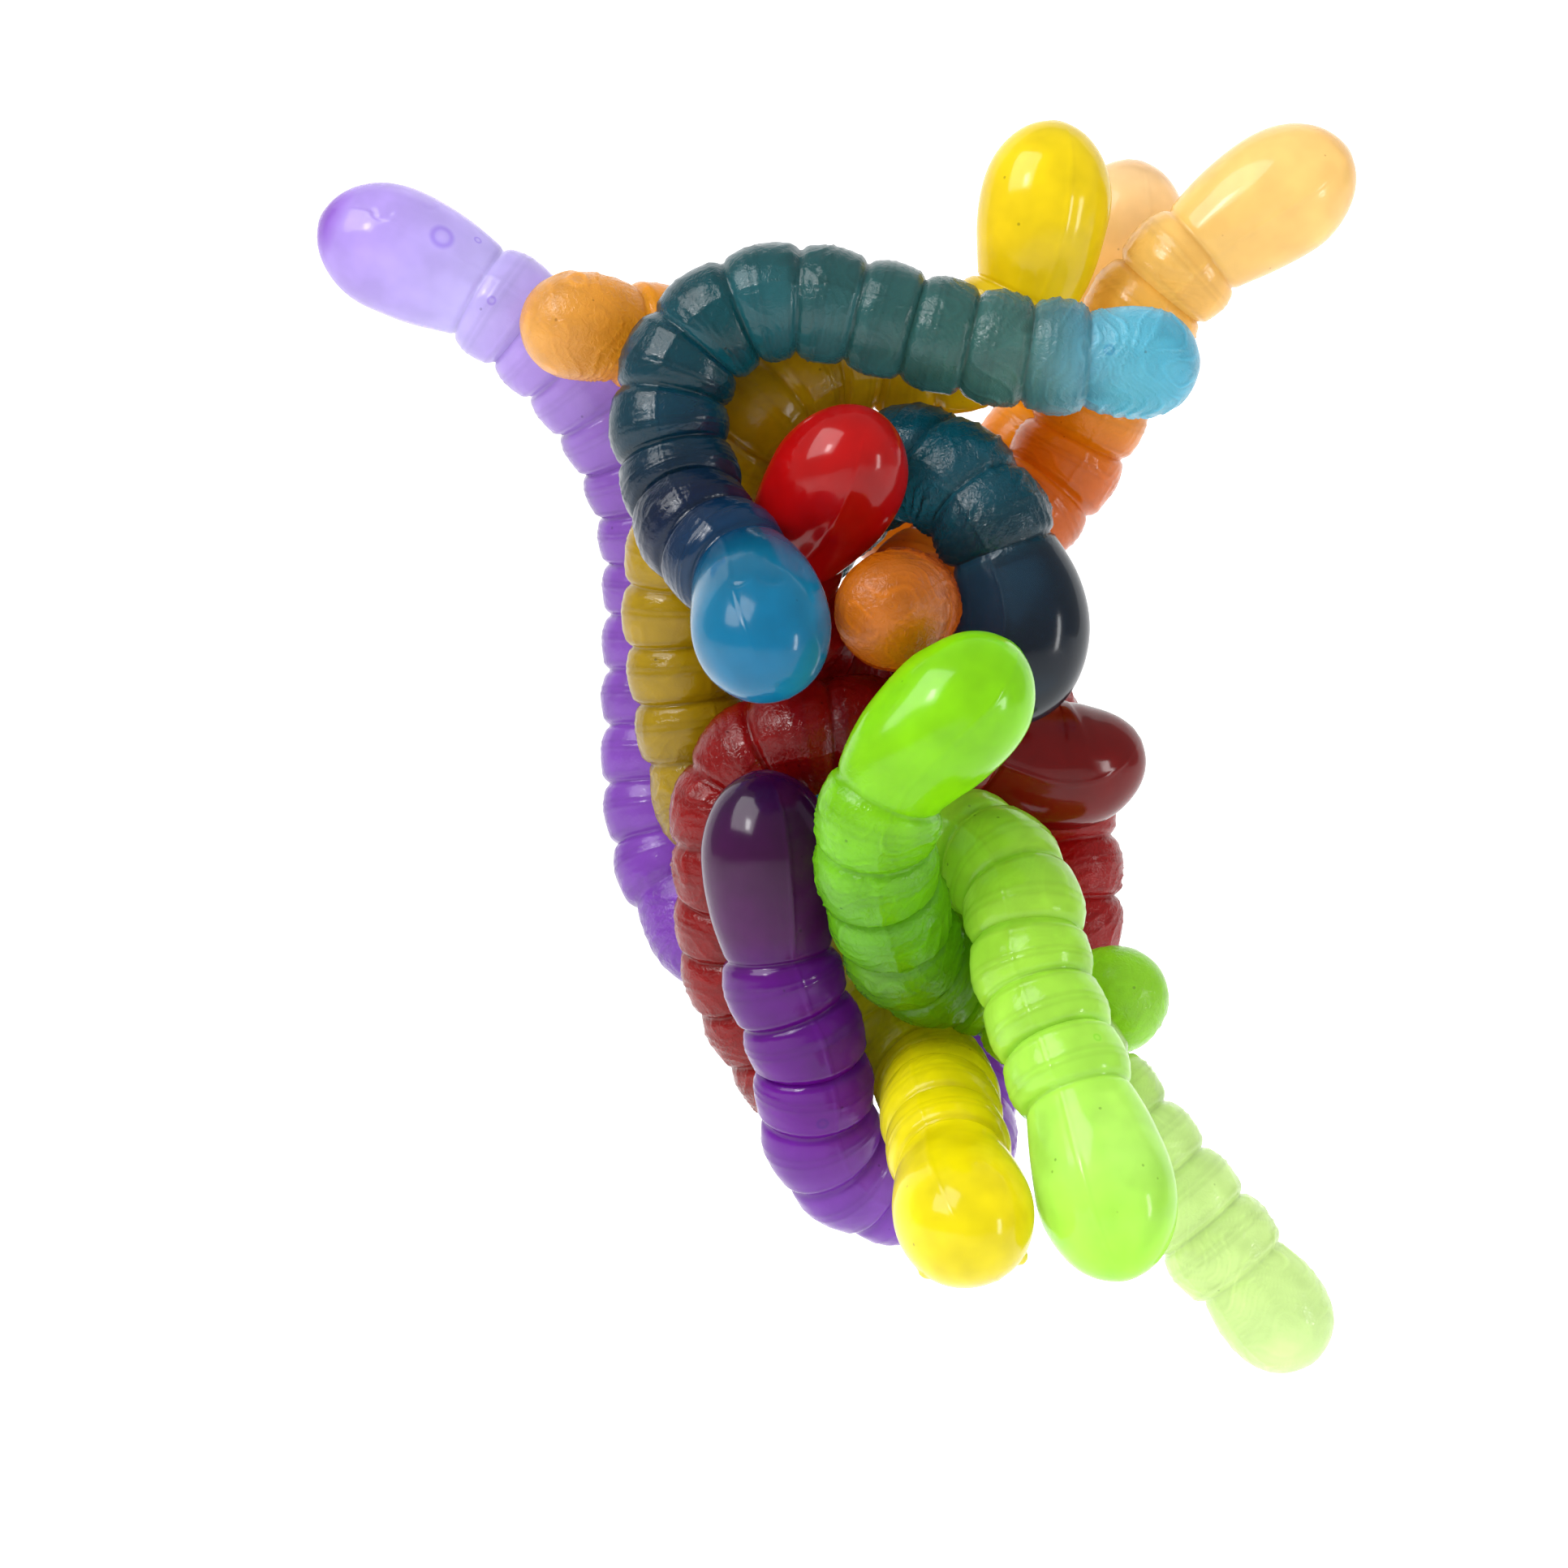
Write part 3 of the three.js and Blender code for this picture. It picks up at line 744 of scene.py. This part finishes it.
def rubber(worm):
    """Glossy, cloudy, translucent rubber, tinted along the worm, with painted shade, glow and highlight
    in the tint.
    """
    material = bpy.data.materials.new(f"{worm.name}_translucent_rubber")
    shader = Shader(material)
    links = shader.links
    place = shader.attribute("rest").outputs["Vector"]
    # The tint read here carries painted shade, painted glow and painted highlight.
    colour = shader.attribute("tint_with_painted_light").outputs["Color"]
    colour = flecked(shader, place, clouded(shader, place, colour))
    colour = bubbled(shader, place, colour, worm)
    normal = wrinkle_bump(shader, place)

    # Light that has passed through the rubber is paler than its surface.
    pale = shader.add("ShaderNodeGamma", Gamma=PALENESS)
    links.new(colour, pale.inputs["Color"])

    milk = shader.add("ShaderNodeBsdfPrincipled", Roughness=MILK_ROUGHNESS, IOR=RUBBER_IOR)
    links.new(colour, milk.inputs["Base Color"])
    links.new(normal, milk.inputs["Normal"])
    through = shader.add("ShaderNodeBsdfTranslucent")
    links.new(pale.outputs[0], through.inputs["Color"])
    clear = shader.add("ShaderNodeBsdfPrincipled", Roughness=CLEAR_ROUGHNESS, IOR=RUBBER_IOR,
                       Transmission_Weight=1.0)
    links.new(pale.outputs[0], clear.inputs["Base Color"])
    links.new(normal, clear.inputs["Normal"])

    soft = shader.mixed(LIGHT_THROUGH, milk.outputs[0], through.outputs[0])
    jelly = shader.mixed(MILKY[worm.name], clear.outputs[0], soft)
    out = shader.add("ShaderNodeOutputMaterial")
    links.new(jelly, out.inputs["Surface"])
    return material


# ---------- camera, floor and light ----------
AIM = Vector((-11.2, 0, -17.2)) * MM
CAMERA_AWAY = 470 * MM
FRAME_WIDTH = 161 * MM
SENSOR = 36.0
NEAREST = 0.01
FARTHEST = 20

# The sweep, in metres: a floor, a bend that starts behind the object, and a wall.
FLOOR_Z = -0.16
FLOOR_FRONT = -0.9
BEND_STARTS = 0.6
BEND_RADIUS = 0.9
BEND_STEPS = 24
WALL_TOP = 3.0
SWEEP_SIDE = 3
PAPER = (0.9, 0.9, 0.9, 1)
PAPER_ROUGHNESS = 0.9
GLOW_DEPTHS = (-0.5, 0.25)
GLOW_STRENGTHS = (0.1, 0.78)
WORLD_ON_OBJECT = 0.5
WORLD_SEEN = 1.0
WHITE = (1, 1, 1, 1)

# The lights, as (name, place, width and height, power), in metres and watts.
WINDOWS = (
    ("key_window", (-0.6, -0.5, 0.65), (0.75, 0.75), 10),
    ("key_lamp", (-0.5, -0.62, 0.42), (0.12, 0.16), 1.2),
    ("low_window", (0.0, -0.8, -0.35), (0.13, 0.16), 0.8),
    ("side_window", (0.75, -0.4, -0.1), (0.1, 0.5), 2),
)


def add_camera():
    """A camera that looks straight at the front, with a narrow view."""
    data = bpy.data.cameras.new("camera")
    data.sensor_width = SENSOR
    data.lens = SENSOR * CAMERA_AWAY / FRAME_WIDTH
    data.clip_start = NEAREST
    data.clip_end = FARTHEST
    camera = bpy.data.objects.new("camera", data)
    camera.location = AIM + Vector((0, -CAMERA_AWAY, 0))
    camera.rotation_euler = (math.pi / 2, 0, 0)
    bpy.context.scene.collection.objects.link(camera)
    bpy.context.scene.camera = camera


def sweep_profile():
    """The sweep's outline from the side, as (depth, height)."""
    profile = [(FLOOR_FRONT, FLOOR_Z)]
    for k in range(BEND_STEPS + 1):
        turn = k / BEND_STEPS * math.pi / 2
        depth = BEND_STARTS + BEND_RADIUS * math.sin(turn)
        profile.append((depth, FLOOR_Z + BEND_RADIUS * (1 - math.cos(turn))))
    profile.append((BEND_STARTS + BEND_RADIUS, WALL_TOP))
    return profile


def white_paper():
    """White paper that glows more towards the back."""
    material = bpy.data.materials.new("white_paper")
    material.use_nodes = True
    nodes = material.node_tree.nodes
    links = material.node_tree.links
    shader = nodes["Principled BSDF"]
    shader.inputs["Base Color"].default_value = PAPER
    shader.inputs["Roughness"].default_value = PAPER_ROUGHNESS
    shader.inputs["Emission Color"].default_value = WHITE
    glow = nodes.new("ShaderNodeMapRange")
    ends = ("From Min", "From Max", "To Min", "To Max")
    for name, end in zip(ends, GLOW_DEPTHS + GLOW_STRENGTHS):
        glow.inputs[name].default_value = end
    place = nodes.new("ShaderNodeNewGeometry")
    split = nodes.new("ShaderNodeSeparateXYZ")
    links.new(place.outputs["Position"], split.inputs["Vector"])
    links.new(split.outputs["Y"], glow.inputs["Value"])
    links.new(glow.outputs["Result"], shader.inputs["Emission Strength"])
    return material


def add_stage():
    """A white sweep: a floor that curves up into a wall behind, and glows more there."""
    profile = sweep_profile()
    points = [(x, y, z) for x in (-SWEEP_SIDE, SWEEP_SIDE) for y, z in profile]
    n = len(profile)
    faces = [(k, k + 1, n + k + 1, n + k) for k in range(n - 1)]
    mesh = bpy.data.meshes.new("white_sweep")
    mesh.from_pydata(points, [], faces)
    mesh.polygons.foreach_set("use_smooth", [True] * len(mesh.polygons))
    mesh.materials.append(white_paper())
    sweep = bpy.data.objects.new("white_sweep", mesh)
    bpy.context.scene.collection.objects.link(sweep)


def add_area(name, place, size, power):
    """A rectangular light that faces the object."""
    data = bpy.data.lights.new(name, "AREA")
    data.shape = "RECTANGLE"
    data.size, data.size_y = size
    data.energy = power
    lamp = bpy.data.objects.new(name, data)
    lamp.location = Vector(place)
    lamp.rotation_euler = (AIM - lamp.location).to_track_quat("-Z", "Y").to_euler()
    bpy.context.scene.collection.objects.link(lamp)


def add_light():
    """A white world, and four windows that the glossy rubber reflects."""
    world = bpy.data.worlds.new("white_world")
    world.use_nodes = True
    nodes = world.node_tree.nodes
    links = world.node_tree.links
    nodes["Background"].inputs["Color"].default_value = WHITE
    # White behind the object from every side, and a softer light on it.
    ray = nodes.new("ShaderNodeLightPath")
    strength = nodes.new("ShaderNodeMapRange")
    strength.inputs["To Min"].default_value = WORLD_ON_OBJECT
    strength.inputs["To Max"].default_value = WORLD_SEEN
    links.new(ray.outputs["Is Camera Ray"], strength.inputs["Value"])
    links.new(strength.outputs["Result"], nodes["Background"].inputs["Strength"])
    bpy.context.scene.world = world
    for name, place, size, power in WINDOWS:
        add_area(name, place, size, power)
    bpy.context.scene.view_settings.view_transform = "Standard"


add_camera()
add_stage()
add_light()
for worm_name in JOINTS:
    dress_worm(worm_name)
